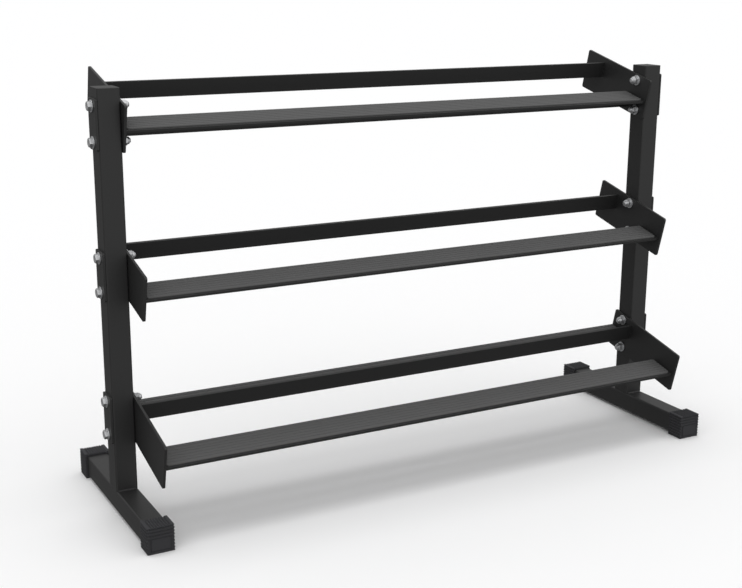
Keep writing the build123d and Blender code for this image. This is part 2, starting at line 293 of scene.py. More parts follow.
def powder_coat():
    """Satin black powder: orange peel at two sizes, faint gloss clouds, dust where it faces up."""
    shader = Shader("black_powder_coat")
    values = finish()
    where = shader.place()
    clouds = shader.noise(where, 9.0, 3.0)
    peel = shader.noise(where, 420.0, 2.0)
    flow = shader.noise(where, 120.0, 2.0)
    grain = shader.noise(where, 2600.0, 1.0)
    dust = shader.upward().ramp(0.55, 1.0) * shader.noise(where, 60.0, 4.0).ramp(0.42, 0.75)
    rub = shader.noise(shader.place((3.0, 40.0, 40.0)), 14.0, 4.0, 0.65).ramp(0.60, 0.72)
    colour = shader.blend(clouds.ramp(0.3, 0.7), shaded(values.paint, 0.9), shaded(values.paint, 1.12))
    colour = shader.blend(dust * 0.12, colour, (0.16, 0.155, 0.15, 1.0))
    rough = (clouds - 0.5) * 0.10 + (flow - 0.5) * 0.06 + rub * 0.05 + dust * 0.08
    height = peel * 0.7 + flow * 1.0 + grain * 0.12
    shader.set(Base_Color=colour, Roughness=rough + values.paint_roughness, IOR=1.5,
               Normal=shader.bump(height, 0.22, 0.00012))
    return shader.material


def mat_rubber():
    """Extruded rubber: streaks along its length, painted shade in the grooves, crests rubbed a little
    smoother.
    """
    shader = Shader("mat_rubber")
    values = finish()
    where = shader.place()
    crest = shader.attribute("crest")
    streaks = shader.noise(shader.place((1.5, 260.0, 260.0)), 1.0, 3.0)
    clouds = shader.noise(where, 14.0, 3.0)
    grain = shader.noise(where, 1500.0, 2.0)
    pores = shader.noise(where, 520.0, 3.0).ramp(0.30, 0.42)
    specks = shader.noise(where, 900.0, 1.0).ramp(0.72, 0.80)
    body = shader.blend(streaks, shaded(values.mat, 0.85), shaded(values.mat, 1.15))
    # Painted shade: the grooves are darkened to 15% of the rubber's colour wherever the crest value is
    # low.
    body = shader.blend(crest.ramp(0.0, 0.6), shaded(values.mat, 0.15), body)
    body = shader.blend(specks * 0.10, body, (0.12, 0.118, 0.115, 1.0))
    rough = (clouds - 0.5) * 0.10 + (streaks - 0.5) * 0.08 - crest * 0.06
    height = grain * 0.6 + pores * 0.5 + streaks * 0.8
    shader.set(Base_Color=body, Roughness=rough + values.mat_roughness, IOR=1.42,
               Normal=shader.bump(height, 0.25, 0.00015))
    return shader.material


def foot_rubber():
    """Moulded rubber: fine spark-eroded grain, painted shade in the grooves, scuffed and dusty near the
    sole.
    """
    shader = Shader("foot_cap_rubber")
    values = finish()
    where = shader.place()
    raised = shader.attribute("crest")
    height_up = shader.node("ShaderNodeSeparateXYZ", {}, {"Vector": where}, "Z")
    low = 1.0 - height_up.ramp(0.0, 0.018)
    clouds = shader.noise(where, 35.0, 3.0)
    grain = shader.noise(where, 1300.0, 2.0, 0.6)
    scuffs = low * shader.noise(where, 180.0, 5.0, 0.7).ramp(0.45, 0.70)
    colour = shader.blend(clouds, shaded(values.cap, 0.85), shaded(values.cap, 1.2))
    # Painted shade: grooves and the inside of the sleeve are darkened to 35% of the rubber's colour where
    # the crest value is low.
    colour = shader.blend(raised, shaded(values.cap, 0.35), colour)
    colour = shader.blend(scuffs * 0.16, colour, (0.15, 0.145, 0.14, 1.0))
    rough = (clouds - 0.5) * 0.12 + scuffs * 0.12 - raised * 0.04
    shader.set(Base_Color=colour, Roughness=rough + values.cap_roughness, IOR=1.5,
               Normal=shader.bump(grain, 0.30, 0.00015))
    return shader.material


def plug_plastic():
    """Moulded plastic with a leather-like grain and a few hairline rubs on its top."""
    shader = Shader("plug_plastic")
    values = finish()
    where = shader.place()
    cells = shader.node("ShaderNodeTexVoronoi", {"feature": "F1"}, {"Vector": where, "Scale": 1100.0})
    rubs = shader.noise(shader.place((40.0, 900.0, 1.0)), 1.0, 3.0).ramp(0.66, 0.74)
    clouds = shader.noise(where, 60.0, 3.0)
    colour = shader.blend(clouds, shaded(values.plug, 0.9), shaded(values.plug, 1.15))
    rough = (clouds - 0.5) * 0.10 - rubs * 0.10 + 0.46
    shader.set(Base_Color=colour, Roughness=rough, IOR=1.46,
               Normal=shader.bump(cells, 0.30, 0.00012))
    return shader.material


def bright_zinc():
    """Plated steel: a faint warm and blue tint, tool marks and a little tarnish in scattered patches."""
    shader = Shader("bright_zinc")
    values = finish()
    where = shader.place()
    tint = shader.noise(where, 130.0, 2.0)
    marks = shader.noise(shader.place((2600.0, 240.0, 240.0)), 1.0, 2.0)
    stains = shader.noise(where, 420.0, 4.0, 0.65).ramp(0.56, 0.74)
    colour = shader.blend(tint.ramp(0.3, 0.7), shaded(values.zinc, 1.0), (0.74, 0.78, 0.83, 1.0))
    colour = shader.blend(stains * 0.35, colour, (0.42, 0.41, 0.39, 1.0))
    rough = (tint - 0.5) * 0.12 + (marks - 0.5) * 0.12 + stains * 0.18
    shader.set(Base_Color=colour, Metallic=1.0, Roughness=rough + values.zinc_roughness,
               Normal=shader.bump(marks, 0.10, 0.00006))
    return shader.material


def ring_nylon():
    """Cut nylon of the lock rings."""
    shader = Shader("ring_nylon")
    values = finish()
    cloud = shader.noise(shader.place(), 900.0, 2.0)
    shader.set(Base_Color=shader.blend(cloud, shaded(values.insert, 0.85), shaded(values.insert, 1.1)),
               Roughness=cloud * 0.2 + 0.35, IOR=1.53, Normal=shader.bump(cloud, 0.15, 0.0001))
    return shader.material


def material(name, make):
    """The material of that name, made the first time that it is asked for."""
    return bpy.data.materials.get(name) or make()


# --- Mesh building ---

def grid_quads(rows, columns, first=0, wrap_rows=False, wrap_columns=False):
    """Corner numbers of the quads of a grid of points numbered row by row."""
    row = np.arange(rows if wrap_rows else rows - 1)[:, None]
    column = np.arange(columns if wrap_columns else columns - 1)[None, :]
    next_row = (row + 1) % rows
    next_column = (column + 1) % columns
    corners = (row * columns + column, row * columns + next_column,
               next_row * columns + next_column, next_row * columns + column)
    return first + np.stack(np.broadcast_arrays(*corners), axis=-1).reshape(-1, 4)


class Surface:
    """Points, faces and an optional value per point, gathered from several grids."""

    def __init__(self):
        self.points = []
        self.values = []
        self.faces = []
        self.count = 0

    def add(self, points, faces, values=None):
        """Adds points (n, 3), faces numbered from nought and a value for each point."""
        points = np.asarray(points, float).reshape(-1, 3)
        self.points.append(points)
        self.values.append(np.ones(len(points)) if values is None else np.asarray(values, float).ravel())
        self.faces += [[int(i) + self.count for i in face] for face in faces]
        self.count += len(points)

    def add_tube(self, grid):
        """Adds rings of points (rings, n, 3) as a tube, closed by a flat face at both ends."""
        rings, around = grid.shape[:2]
        ends = [list(range(around)), list(range((rings - 1) * around, rings * around))]
        self.add(grid, grid_quads(rings, around, wrap_columns=True).tolist() + ends)

    def add_ring(self, grid):
        """Adds a closed profile carried round a closed path, (profile, n, 3)."""
        self.add(grid, grid_quads(*grid.shape[:2], wrap_rows=True, wrap_columns=True).tolist())

    def make(self, name, finish_material, slot, nodes, sharp=30.0):
        """Makes the object with outward normals, lets it ride on the frame and stand for its nodes."""
        mesh = bpy.data.meshes.new(name)
        mesh.from_pydata(np.concatenate(self.points), [], self.faces)
        crest = mesh.attributes.new("crest", "FLOAT", "POINT")
        crest.data.foreach_set("value", np.concatenate(self.values))
        shell = bmesh.new()
        shell.from_mesh(mesh)
        bmesh.ops.remove_doubles(shell, verts=shell.verts, dist=1e-7)
        bmesh.ops.recalc_face_normals(shell, faces=shell.faces)
        shell.to_mesh(mesh)
        shell.free()
        mesh.shade_smooth()
        mesh.set_sharp_from_angle(angle=radians(sharp))
        mesh.materials.append(finish_material)
        piece = bpy.data.objects.new(name, mesh)
        bpy.context.scene.collection.objects.link(piece)
        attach(piece, "root")
        if nodes:
            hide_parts(*nodes)
        return piece


def rounded_edge(radius, points):
    """Quarter circle over an edge, as distances from its two faces: one falls from the radius
    to nought while the other rises from nought to the radius."""
    turn = np.linspace(0, pi / 2, points)
    return radius * (1 - np.sin(turn)), radius * (1 - np.cos(turn))


def box(node):
    """Lowest and highest corner of a node, as arrays."""
    low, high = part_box(node)
    return np.array(low), np.array(high)


def shelf_axes():
    """Unit vectors back along the shelves' slope and square to it, as (y, z)."""
    tilt = sizes().shelf_tilt
    return np.array([cos(tilt), sin(tilt)]), np.array([-sin(tilt), cos(tilt)])


def shelf_centre(shelf):
    """Middle of a shelf's end plates, as (y, z)."""
    low, high = box(f"right_{shelf}_end_plate")
    return (low + high)[1:] / 2


def on_slope(centre, along, up):
    """Places given along the slope and square to it become (y, z)."""
    back, normal = shelf_axes()
    along, up = np.asarray(along, float), np.asarray(up, float)
    return centre + along[..., None] * back + up[..., None] * normal


# --- Ribbed mats ---

RIB_SHARE = 0.84        # of the pitch, taken by a rib
EDGE_SHARE = 0.8        # of the mat's base, left at its long edges
EDGE_CREST = 0.6        # crest value of the long edges


def mat_section(ribs):
    """Across one mat: places, top heights and a crest value.

    Each rib is half a flattened ellipse: height = rib * (1 - |q|^2)^(1/2), where q goes from -1
    to 1 over the rib. Between ribs that leaves a groove down to the base."""
    size = sizes()
    q = -np.cos(np.linspace(0, pi, size.rib_points))
    rise = (1 - q ** 2).clip(0) ** 0.5
    rise[0] = rise[-1] = 0.0
    middle = (np.arange(ribs) - (ribs - 1) / 2) * size.mat_pitch
    across = (middle[:, None] + q * size.mat_pitch * RIB_SHARE / 2).ravel()
    height = np.tile(size.mat_base + size.mat_rib * rise, ribs)
    edge = ribs * size.mat_pitch / 2
    edge_height = size.mat_base * EDGE_SHARE
    across = np.concatenate([[-edge], across, [edge]])
    height = np.concatenate([[edge_height], height, [edge_height]])
    # Crest value: 1 on a rib's top, nought at a groove's floor; it sets the rubber's painted shade.
    crest = np.concatenate([[EDGE_CREST], np.tile(rise, ribs), [EDGE_CREST]])
    return across, height, crest


def mat_surface(shelf, row):
    """One mat: the section carried from end to end.

    An end's outline in plan is a straight edge with quarter circles at its corners, so a place
    q across the mat ends at L - r + sqrt(r^2 - (|q| - (w - r))^2), and the top drops away over
    the last stretch as a quarter circle."""
    size = sizes()
    low, high = box(f"{shelf}_{row}_mat")
    back, _ = shelf_axes()
    width = (high[1] - low[1] - size.mat_base * back[1]) / back[0]
    across, height, crest = mat_section(round(width / size.mat_pitch))
    corner = np.array([high[1] - width * back[0], low[2]])
    overrun = (np.abs(across) - (width / 2 - size.mat_corner)).clip(0)
    reach = high[0] - size.mat_corner + np.sqrt((size.mat_corner ** 2 - overrun ** 2).clip(0))
    drop, from_end = rounded_edge(size.mat_end_round, 5)
    x = reach - from_end[:, None]
    x = np.concatenate([-x, np.zeros((1, len(across))), x[::-1]])
    drops = np.concatenate([drop, [0.0], drop[::-1]])
    top = (height - drops[:, None]).clip(size.mat_thin)
    places = np.broadcast_to(across + width / 2, top.shape)
    upper = np.dstack([x, on_slope(corner, places, top)])
    under = np.dstack([x, on_slope(corner, places, np.zeros_like(top))])[:, ::-1]
    loop = np.concatenate([upper, under], axis=1)
    rings, around = loop.shape[:2]
    faces = grid_quads(rings, around, wrap_columns=True).tolist()
    steps = np.arange(around // 2 - 1)
    end = np.stack([steps, steps + 1, around - 2 - steps, around - 1 - steps], axis=-1)
    for first in (0, (rings - 1) * around):
        faces += (first + end).tolist()
    surface = Surface()
    surface.add(loop, faces, np.tile(np.concatenate([crest, crest[::-1]]), (rings, 1)))
    return surface


class RACK_OT_ribbed_mats(bpy.types.Operator):
    """Ribbed rubber mats on the ledges of all three shelves"""

    bl_idname = "rack.ribbed_mats"
    bl_label = "Ribbed mats"

    def execute(self, context):
        rubber = material("mat_rubber", mat_rubber)
        for shelf in SHELVES:
            for row in ROWS:
                surface = mat_surface(shelf, row)
                surface.make(f"{shelf}_{row}_ribbed_mat", rubber, "mat_rubber", [f"{shelf}_{row}_mat"])
        return {"FINISHED"}


# --- Foot caps ---

GROOVE_LIP = 0.5        # from a groove's middle to its lip and to its floor's edge,
GROOVE_FLOOR = 0.2      # as shares of its width
SLACK = 1e-9            # how far a place may pass a limit, in metres


def groove_middles(span, pitch):
    """Middle lines of as many grooves as have their centres in the span."""
    steps = int(span / pitch + 1e-6)
    return (np.arange(steps + 1) - steps / 2) * pitch


def groove_lines(middles):
    """Places of the four lines of every groove: lip, floor, floor, lip."""
    lines = np.array([-GROOVE_LIP, -GROOVE_FLOOR, GROOVE_FLOOR, GROOVE_LIP]) * sizes().groove_width
    return (np.asarray(middles)[:, None] + lines).ravel()


def groove_cut(places, middles):
    """Groove depth at each place: full depth at a groove's floor, none outside its lips."""
    size = sizes()
    gap = np.abs(places[..., None] - np.asarray(middles)).min(axis=-1) / size.groove_width
    return size.groove_depth * ((GROOVE_LIP - gap) / (GROOVE_LIP - GROOVE_FLOOR)).clip(0, 1)


def cap_lines(half):
    """Rows and columns through every groove line, and the middles of the side and top grooves."""
    size = sizes()
    core = half - size.cap_corner
    side_middles = groove_middles(2 * core, size.side_pitch)
    top_middles = groove_middles(2 * (core - size.groove_width), size.top_pitch)
    arc = core + size.cap_corner * np.linspace(0, 1, 7)
    panel_side = half - size.panel_margin
    rows = [groove_lines(side_middles).clip(-core, core), groove_lines([size.cap_wall - half]), arc, -arc]
    columns = [[-core, core], groove_lines(top_middles).clip(-core, core),
               groove_lines([-panel_side, panel_side])]
    rows, columns = (np.unique(np.round(np.concatenate(lines), 6)) for lines in (rows, columns))
    return rows, columns[np.abs(columns) <= core + SLACK], side_middles, top_middles


def rounded_square(rows, columns, half, corner, inset):
    """Outline of a square with rounded corners, through the given rows and columns.

    A row beyond half - corner stands for an angle in the corner's arc, so the same row gives
    points that lie beside each other at any inset. Runs up the right side, back along the top,
    down the left side and forward along the bottom."""
    core = half - corner
    radius = corner - inset
    angle = ((np.abs(rows) - core) / corner).clip(0, 1) * pi / 2
    height = np.sign(rows) * (np.minimum(np.abs(rows), core) + radius * np.sin(angle))
    reach = core + radius * np.cos(angle)
    inner = columns[1:-1]
    right = np.stack([reach, height], axis=-1)
    top = np.stack([inner[::-1], np.full(len(inner), core + radius)], axis=-1)
    left = np.stack([-reach[::-1], height[::-1]], axis=-1)
    bottom = np.stack([inner, np.full(len(inner), -core - radius)], axis=-1)
    return np.concatenate([right, top, left, bottom])


def cap_end(rows, columns, front, half, side_middles):
    """Places across a foot cap's end, their depth and a crest value, all on rows and columns.

    The edge of the grid is the outline's front ring, and no place is higher than the ring above
    it. The end's upper grooves run across it; a groove goes round three sides of the panel."""
    size = sizes()
    n_rows, n_columns = len(rows), len(columns)
    top_end = n_rows + n_columns - 2
    x = np.repeat(columns[None, :], n_rows, axis=0)
    z = np.repeat(front[:n_rows, 1][:, None], n_columns, axis=1)
    x[:, -1], z[:, -1] = front[:n_rows].T
    x[:, 0], z[:, 0] = front[top_end:top_end + n_rows][::-1].T
    z[:, 1:-1] = np.minimum(z[:, 1:-1], front[n_rows:top_end, 1][::-1])
    across = side_middles[side_middles > 0]
    side, foot = half - size.panel_margin, size.cap_wall - half
    in_height = ((rows > foot - size.groove_width / 2) & (rows < across[0]))[:, None]
    in_width = (np.abs(columns) < side + size.groove_width / 2)[None, :]
    depth = np.maximum(groove_cut(columns, [-side, side])[None, :] * in_height,
                       groove_cut(rows, [foot])[:, None] * in_width)
    depth = np.maximum(depth, groove_cut(rows, across)[:, None])
    crest = 1 - depth / size.groove_depth
    depth[:, [0, -1]] = depth[[0, -1], :] = 0.0
    return x, z, depth, crest


def foot_cap_surface(node):
    """A ribbed sleeve with a closed end.

    The outside is the rounded square carried along the foot and moved inwards by the greater of
    the end's rounding and the groove's depth there. The end is a height field over the same rows
    and columns, joined to the notched outline at the front."""
    size = sizes()
    low, high = box(node)
    facing = -1.0 if low[1] < 0 else 1.0
    middle_x, middle_y, middle_z = (low + high) / 2
    half = (high[0] - low[0]) / 2
    run = high[1] - low[1]
    deep = size.groove_depth
    rows, columns, side_middles, top_middles = cap_lines(half)

    def outline(inset):
        return rounded_square(rows, columns, half, size.cap_corner, inset)

    def placed(x, depth, z):
        y = np.broadcast_to(middle_y + facing * (run / 2 - depth), x.shape)
        return np.stack([middle_x + x, y, middle_z + z], axis=-1)

    inner = columns[1:-1]
    on_side = groove_cut(rows, side_middles) * (np.abs(rows) <= half - size.cap_corner + SLACK)
    cut = np.concatenate([on_side, groove_cut(inner[::-1], top_middles), on_side[::-1], 0 * inner])
    inset, along = rounded_edge(size.cap_end_round, 4)
    along = np.concatenate([along, [run / 2], run - along[::-1] / 2])
    inset = np.concatenate([inset, [0.0], inset[::-1] / 2])
    moved = np.maximum(inset[:, None], cut)
    ring = outline(0.0) + (moved / deep)[..., None] * (outline(deep) - outline(0.0))
    socket = outline(size.cap_corner / 2)
    socket *= (half - size.cap_wall) / np.abs(socket).max()
    rings = np.concatenate([ring, [socket, socket]])
    places = np.concatenate([along, [run, size.cap_end_wall]])
    # Crest value: 1 less the groove's depth outside, nought in the socket; it sets the rubber's painted
    # shade.
    crest = np.concatenate([1 - np.where(cut > 0, moved, 0) / deep, np.zeros((2, len(cut)))])
    faces = grid_quads(len(places), len(cut), wrap_columns=True).tolist()
    faces.append(list(range((len(places) - 1) * len(cut), len(places) * len(cut))))
    surface = Surface()
    surface.add(placed(rings[..., 0], places[:, None], rings[..., 1]), faces, crest)

    x, z, depth, crest = cap_end(rows, columns, ring[0], half, side_middles)
    surface.add(placed(x, depth, z), grid_quads(len(rows), len(columns)).tolist(), crest)
    return surface


class RACK_OT_foot_caps(bpy.types.Operator):
    """Grooved rubber caps on the four ends of the feet"""

    bl_idname = "rack.foot_caps"
    bl_label = "Foot caps"

    def execute(self, context):
        rubber = material("foot_cap_rubber", foot_rubber)
        for side in SIDES:
            for row in ROWS:
                surface = foot_cap_surface(f"{side}_{row}_foot_cap")
                surface.make(f"{side}_{row}_grooved_cap", rubber, "foot_cap_rubber",
                             [f"{side}_{row}_foot_cap"])
        return {"FINISHED"}


# --- Upright caps ---

def rounded_outline(half, corner, points=9):
    """Rectangle of the given half sizes whose corners are quarter circles, as (n, 2)."""
    start = np.arange(4)[:, None] * pi / 2
    turn = start + np.linspace(0, pi / 2, points)
    corners = np.stack([np.sign(np.cos(start + pi / 4)), np.sign(np.sin(start + pi / 4))], axis=-1)
    arc = corner * np.stack([np.cos(turn), np.sin(turn)], axis=-1)
    return (corners * (half - corner) + arc).reshape(-1, 2)


def upright_cap_surface(node):
    """A crowned lid with a hollow plug under it.

    A profile of (inset, height) is carried round the tube's rounded outline. The lid's height over
    its edge is crown * (1 - (1 - inset / half)^2), so it is flattest in the middle."""
    size = sizes()
    low, high = box(node)
    half = (high - low)[:2] / 2
    narrow = half.min()
    rounding = size.plug_flange * 0.45
    relief = 0.4 * MM
    shoulder = size.plug_flange - size.plug_crown
    drop, edge_in = rounded_edge(rounding, 7)
    lid_in = np.linspace(rounding, narrow * 0.96, 9)[1:]
    climb = (lid_in - rounding) / (narrow - rounding)
    lid_up = shoulder + size.plug_crown * (1 - (1 - climb) ** 2)
    plug_in = size.tube_wall + size.plug_clearance
    hollow_in = plug_in + size.plug_wall
    inset = np.concatenate([[hollow_in, hollow_in, plug_in, plug_in, relief, 0.0], edge_in, lid_in])
    height = np.concatenate([[0.0, -size.plug_depth, -size.plug_depth, 0.0, 0.0, relief],
                             shoulder - drop, lid_up])
    rings = [rounded_outline(half - d, max(size.tube_corner - d, 0.04 * (narrow - d))) for d in inset]
    grid = np.empty((len(inset), len(rings[0]), 3))
    grid[..., :2] = (low + high)[:2] / 2 + np.stack(rings)
    grid[..., 2] = (high[2] - size.plug_flange + height)[:, None]
    surface = Surface()
    surface.add_tube(grid)
    return surface


class RACK_OT_upright_caps(bpy.types.Operator):
    """Crowned plastic caps on the tops of the uprights"""

    bl_idname = "rack.upright_caps"
    bl_label = "Upright caps"

    def execute(self, context):
        plastic = material("plug_plastic", plug_plastic)
        for side in SIDES:
            surface = upright_cap_surface(f"{side}_upright_cap")
            surface.make(f"{side}_upright_lid", plastic, "plug_plastic", [f"{side}_upright_cap"])
        return {"FINISHED"}


# --- Fasteners ---

def fastener_pair(node):
    """Width across flats, (y, z) of both fasteners, and the node's inner and outer end along X."""
    low, high = box(node)
    flats = (high[1] - low[1]) * cos(pi / 6)
    y = (low[1] + high[1]) / 2
    inner, outer = (low[0], high[0]) if low[0] > 0 else (high[0], low[0])
    return flats, [(y, low[2] + flats / 2), (y, high[2] - flats / 2)], inner, outer


def hexagon_radius(angle, flats):
    """Distance from the middle to a hexagon's side at each angle."""
    return flats / 2 / np.cos((angle + pi / 6) % (pi / 3) - pi / 6)


def about_x(x, reach, angle, centre):
    """Points at a place along X, a distance and an angle from an axis along X."""
    y, z = centre[0] + reach * np.cos(angle), centre[1] + reach * np.sin(angle)
    return np.stack([np.broadcast_to(x[:, None], reach.shape), y, z], axis=-1)


def round_angles():
    return np.linspace(0, 2 * pi, sizes().turn_points, endpoint=False)


def turned(x, radius, centre, hex_part=slice(0), flats=1.0, turn=0.0):
    """A profile of (x, radius) turned about an axis along X, as (stations, n, 3).

    In the stations of hex_part the radius is the lesser of the profile's and the hexagon's, which
    cuts the curved edges that a chamfer leaves on a hexagon."""
    angle = round_angles()
    reach = np.repeat(np.asarray(radius, float)[:, None], len(angle), axis=1)
    reach[hex_part] = np.minimum(reach[hex_part], hexagon_radius(angle + turn, flats))
    return about_x(np.asarray(x), reach, angle, centre)


def threaded(start, end, centre):
    """The threaded end of a bolt, from its tip to a place under the nut.

    radius = outer - depth * |2 * fraction(x / pitch - angle / turn) - 1|, kept under the chamfer
    cone at the tip."""
    size = sizes()
    outer = size.bolt_diameter / 2 - 0.05 * MM
    depth = 0.61 * size.thread_pitch
    tip_chamfer = 1.4 * MM
    angle = round_angles()
    x = np.linspace(0, abs(end - start), 36)
    phase = (x[:, None] / size.thread_pitch - angle / (2 * pi)) % 1.0
    reach = np.minimum(outer - depth * np.abs(2 * phase - 1), outer - tip_chamfer + x[:, None])
    return about_x(start + np.sign(end - start) * x, reach, angle, centre)


def bolts_surface(node):
    """Two hexagon bolts: washer face, chamfered head with a dished top, shank and threaded tip."""
    size = sizes()
    flats, places, tip, top = fastener_pair(node)
    outward = np.sign(top)
    head, face, chamfer, threads = size.head_height, 0.4 * MM, 1.4 * MM, 8 * MM
    corner = flats / 2 / cos(pi / 6)
    bevel_x = np.linspace(head - chamfer, head, 6)
    bevel_r = np.linspace(corner, flats * 0.465, 6)
    x = np.concatenate([[0, 0, face, face], bevel_x, [head, head - face, head - face]])
    radius = np.concatenate([[size.bolt_diameter / 2, flats * 0.47, flats * 0.47, corner], bevel_r,
                             [flats * 0.33, flats * 0.29, flats * 0.05]])
    surface = Surface()
    for number, centre in enumerate(places):
        thread = threaded(tip, tip + outward * threads, centre)
        x_places = top - outward * (head - x)
        bolt_head = turned(x_places, radius, centre, slice(3, 10), flats, 0.4 + 1.1 * number)
        surface.add_tube(np.concatenate([thread, bolt_head]))
    return surface


def nuts_surface(node):
    """Two lock nuts: hexagon with both ends chamfered, then a round collar rolled over its ring."""
    size = sizes()
    flats, places, top, seat = fastener_pair(node)
    corner = flats / 2 / cos(pi / 6)
    collar = size.bolt_diameter / 2 + size.collar_wall
    bore = size.bolt_diameter / 2 + 0.1 * MM
    tall = abs(top - seat)
    hexagon_end = tall - size.nut_collar
    foot_x = np.linspace(0.3 * MM, 1.2 * MM, 5)
    foot_r = np.linspace(flats * 0.47, corner, 5)
    head_x = np.linspace(hexagon_end - 1.6 * MM, hexagon_end, 6)
    head_r = np.linspace(corner, flats * 0.455, 6)
    roll = 1.3 * MM
    roll_left, roll_in = rounded_edge(roll, 7)
    lip = collar - roll - 0.25 * MM
    x = np.concatenate([[0, 0, 0.3 * MM], foot_x, head_x, [hexagon_end, hexagon_end + 0.4 * MM],
                        tall - roll_left, [tall - 0.1 * MM, tall - 0.9 * MM, tall - 0.9 * MM, 0.6 * MM]])
    radius = np.concatenate([[bore + 0.6 * MM, flats * 0.46, flats * 0.46], foot_r, head_r,
                             [collar + 0.5 * MM, collar], collar - roll_in, [lip, lip, bore, bore]])
    hex_part = slice(3, 3 + len(foot_x) + len(head_x))
    surface = Surface()
    for number, centre in enumerate(places):
        x_places = seat - np.sign(seat) * x
        surface.add_ring(turned(x_places, radius, centre, hex_part, flats, 0.15 + 0.7 * number))
    return surface


def lock_rings_surface(node):
    """The nylon ring inside each nut's collar, a flat ring with a rounded inner edge."""
    size = sizes()
    _, places, top, _ = fastener_pair(node)
    outer = size.bolt_diameter / 2 + size.collar_wall - 1.6 * MM
    inner = size.bolt_diameter / 2 - 0.02 * MM
    x = np.array([0.45, 0.45, 0.6, 2.6, 2.6]) * MM
    radius = np.array([outer, inner + 0.15 * MM, inner, inner, outer])
    surface = Surface()
    for centre in places:
        surface.add_ring(turned(top + np.sign(top) * x, radius, centre))
    return surface


def washers_surface(node):
    """Four flat washers: a rectangle with rounded outer edges and small chamfers at the bore."""
    size = sizes()
    low, high = box(node)
    outer = (high[1] - low[1]) / 2
    bore = size.bolt_diameter / 2 + 0.5 * MM
    chamfer = 0.3 * MM
    thick = size.washer_thickness
    edge_left, edge_x = rounded_edge(0.5 * MM, 5)
    edge_r = outer - edge_left
    x = np.concatenate([[0.0], edge_x, thick - edge_x[::-1], [thick, thick - chamfer, chamfer]])
    radius = np.concatenate([[bore + chamfer], edge_r, edge_r[::-1], [bore + chamfer, bore, bore]])
    surface = Surface()
    y = (low[1] + high[1]) / 2
    for z in (low[2] + outer, high[2] - outer):
        for start in (low[0], high[0] - thick):
            surface.add_ring(turned(start + x, radius, (y, z)))
    return surface


class RACK_OT_fasteners(bpy.types.Operator):
    """Hexagon bolts, lock nuts with their nylon rings, and flat washers at every shelf end"""

    bl_idname = "rack.fasteners"
    bl_label = "Fasteners"

    def execute(self, context):
        zinc = material("bright_zinc", bright_zinc)
        nylon = material("ring_nylon", ring_nylon)
        kinds = (("bolts", "hexagon_bolts", bolts_surface), ("nuts", "lock_nuts", nuts_surface),
                 ("washers", "flat_washers", washers_surface))
        for end in [f"{side}_{shelf}" for side in SIDES for shelf in SHELVES]:
            for kind, name, build in kinds:
                node = f"{end}_{kind}"
                build(node).make(f"{end}_{name}", zinc, "bright_zinc", [node], sharp=32.0)
            rings = lock_rings_surface(f"{end}_nuts")
            rings.make(f"{end}_lock_rings", nylon, "plug_plastic", [], sharp=32.0)
        return {"FINISHED"}


# --- Weld beads ---

def bead_grid(start, end, first_face, second_face, leg):
    """A fillet bead between two faces that meet along the line from start to end.

    Across it, the surface bulges: place = a * first + b * second, with a = leg * cos(t)^1.4 and
    b = leg * sin(t)^1.4. Along it, the leg swells by a ripple, 1 - |sin(pi * s / pitch)| eased,
    whose crests lag in the middle as a laid bead's do, and it tapers over its two ends."""
    size = sizes()
    start, end = np.asarray(start, float), np.asarray(end, float)
    run = np.linalg.norm(end - start)
    steps = max(int(run / size.weld_ripple * 7), 12)
    along = np.linspace(0, run, steps)[:, None]
    t = np.linspace(0, pi / 2, 9)[None, :]
    lag = 0.5 * leg * np.sin(2 * t)
    ripple = 1 - np.abs(np.sin(pi * (along - lag) / size.weld_ripple)) ** 0.8
    wander = 0.03 * np.sin(along * 410.0 + 1.7) + 0.02 * np.sin(along * 1130.0)
    taper = 1 - 0.55 * np.exp(-(np.minimum(along, run - along) / (0.35 * leg)) ** 2)
    swell = leg * taper * (0.94 - 0.07 * ripple + wander)
    a = (swell * np.cos(t).clip(0) ** 1.4)[..., None]
    b = (swell * np.sin(t).clip(0) ** 1.4)[..., None]
    line = start + (end - start) * (along / run)
    arc = line[:, None, :] + a * np.asarray(first_face) + b * np.asarray(second_face)
    return np.concatenate([line[:, None, :], arc], axis=1)


def base_weld_surface(node):
    """Beads across the front and rear faces of an upright, on top of its foot."""
    size = sizes()
    low, high = box(node)
    surface = Surface()
    for facing in (-1.0, 1.0):
        y = facing * (high[1] - size.base_weld)
        start, end = (low[0], y, low[2]), (high[0], y, low[2])
        surface.add_tube(bead_grid(start, end, (0, facing, 0), (0, 0, 1), size.base_weld))
    return surface


def rail_corner(row):
    """Outer corner of a rail's section along and up the slope, and the signs of its two arms."""
    size = sizes()
    if row == "front":
        return (-size.plate_length / 2 + size.front_setback + size.ledge_width, -size.front_drop), -1.0
    return (size.plate_length / 2 - size.ledge_width, size.rear_rise - size.rail_thickness), 1.0


def shelf_weld_surface(shelf):
    """Beads between the rails and both end plates, along the ledges' undersides and the legs."""
    size = sizes()
    plate = box(f"right_{shelf}_end_plate")[0][0]
    centre = shelf_centre(shelf)
    back, normal = shelf_axes()
    clear = size.rail_thickness + size.shelf_weld + size.weld_gap
    thick = size.rail_thickness
    ledge_end = size.ledge_width - size.weld_gap
    leg_run = ((thick, size.leg_height - size.weld_gap), (thick, clear), (1, 0))
    ledge_runs = {"front": ((clear, thick), (ledge_end, thick), (0, 1)),
                  "rear": ((ledge_end, 0.0), (clear, 0.0), (0, -1))}
    surface = Surface()
    for row in ROWS:
        (along, up), sign = rail_corner(row)
        for first, last, (out_u, out_v) in (ledge_runs[row], leg_run):
            starts = on_slope(centre, along + sign * np.array([first[0], last[0]]),
                              up + sign * np.array([first[1], last[1]]))
            face = sign * (out_u * back + out_v * normal)
            for side in (-1.0, 1.0):
                ends = [(side * plate, *place) for place in starts]
                surface.add_tube(bead_grid(*ends, (-side, 0, 0), (0, *face), size.shelf_weld))
    return surface


